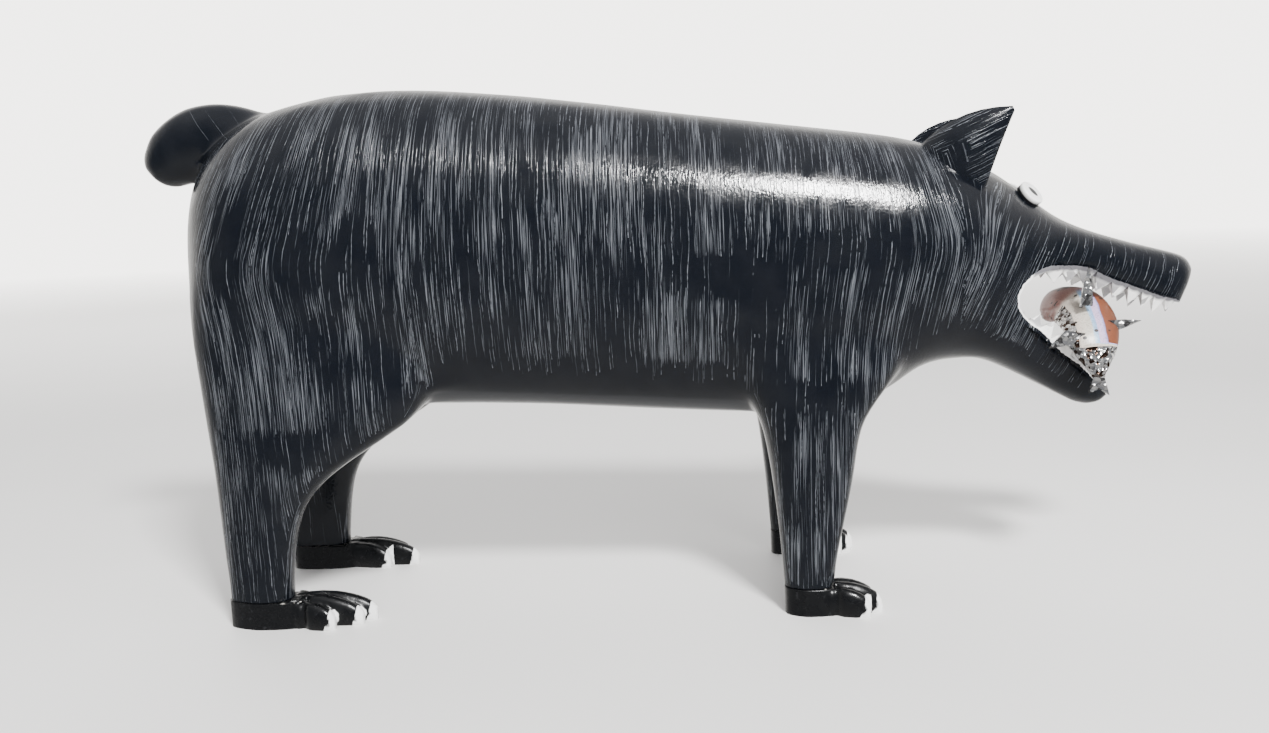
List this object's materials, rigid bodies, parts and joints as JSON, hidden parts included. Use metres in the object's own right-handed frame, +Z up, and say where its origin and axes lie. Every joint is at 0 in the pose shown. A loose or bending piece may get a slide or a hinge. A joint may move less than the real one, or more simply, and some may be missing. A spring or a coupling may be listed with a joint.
{
  "type": "carved wooden bear",
  "caption": "Standing black bear carved from a log, long log-shaped barrel on short legs with white-clawed foot blocks, open jaws with carved teeth holding a small trout crosswise",
  "frame": {"origin": "on the ground, under the middle of the bear's bounding box", "axes": "+X towards the snout, +Z up, +Y towards the bear's left side"},
  "size_m": [0.4528, 0.1092, 0.2245],
  "materials": {
    "black_paint": "gloss black paint with fine white hair strokes",
    "foot_paint": "gloss black paint with white claws",
    "eye_paint": "white paint with a black pupil",
    "fish_paint": "painted in trout colours, silvery belly",
    "foil": "crinkled bright foil"
  },
  "bodies": {
    "root": {"bear_body": "black_paint", "foot_hind_right": "foot_paint", "foot_hind_left": "foot_paint", "foot_front_right": "foot_paint", "foot_front_left": "foot_paint", "eye_right": "eye_paint", "eye_left": "eye_paint", "fish_body": "fish_paint", "fish_fin_back": "foil", "fish_fin_side": "foil", "fish_fin_belly": "foil", "fish_fin_tail": "foil"}
  },
  "joints": []
}
